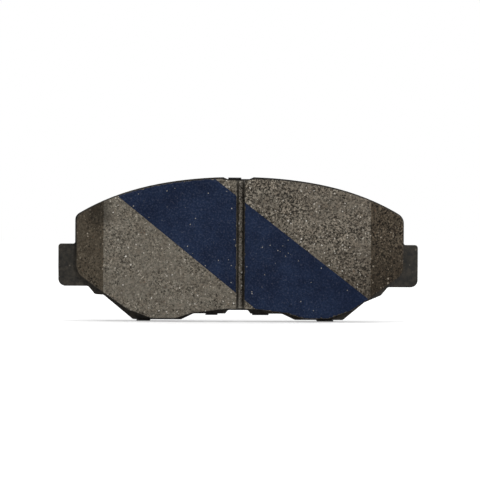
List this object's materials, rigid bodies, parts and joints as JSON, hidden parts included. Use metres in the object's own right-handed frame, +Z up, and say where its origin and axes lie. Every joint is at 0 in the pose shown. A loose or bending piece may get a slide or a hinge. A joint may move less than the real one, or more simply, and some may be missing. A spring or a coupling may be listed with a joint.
{
  "type": "disc brake pad",
  "caption": "Eared disc brake pad with a slotted, end-chamfered lining, a diagonal printed band and a clip-on damping shim.",
  "frame": {"origin": "middle of the bottom of the bounding box: below the middle of the pad's length and thickness, level with the lowest shim tabs, on which the upright pad stands", "axes": "+X along the pad from its left ear to its right ear as seen from the disc, +Z up, away from the axle, and -Y out of the lining's face towards the disc, so +Y is the shim's side, towards the caliper"},
  "size_m": [0.1484, 0.0172, 0.0594],
  "materials": {
    "plate_steel": "satin",
    "adhesive": "satin",
    "base_layer": "matte",
    "friction_material": "matte",
    "printed_band": "matte",
    "shim_elastomer": "matte",
    "shim_steel": "satin",
    "shim_rubber": "matte"
  },
  "bodies": {
    "root": {"backing_plate": "plate_steel", "bond_film": "adhesive", "underlayer": "base_layer", "friction_block": "friction_material", "coating_left": "printed_band", "coating_right": "printed_band", "shim_cushion": "shim_elastomer", "shim_core": "shim_steel", "shim_facing": "shim_rubber"}
  },
  "joints": []
}
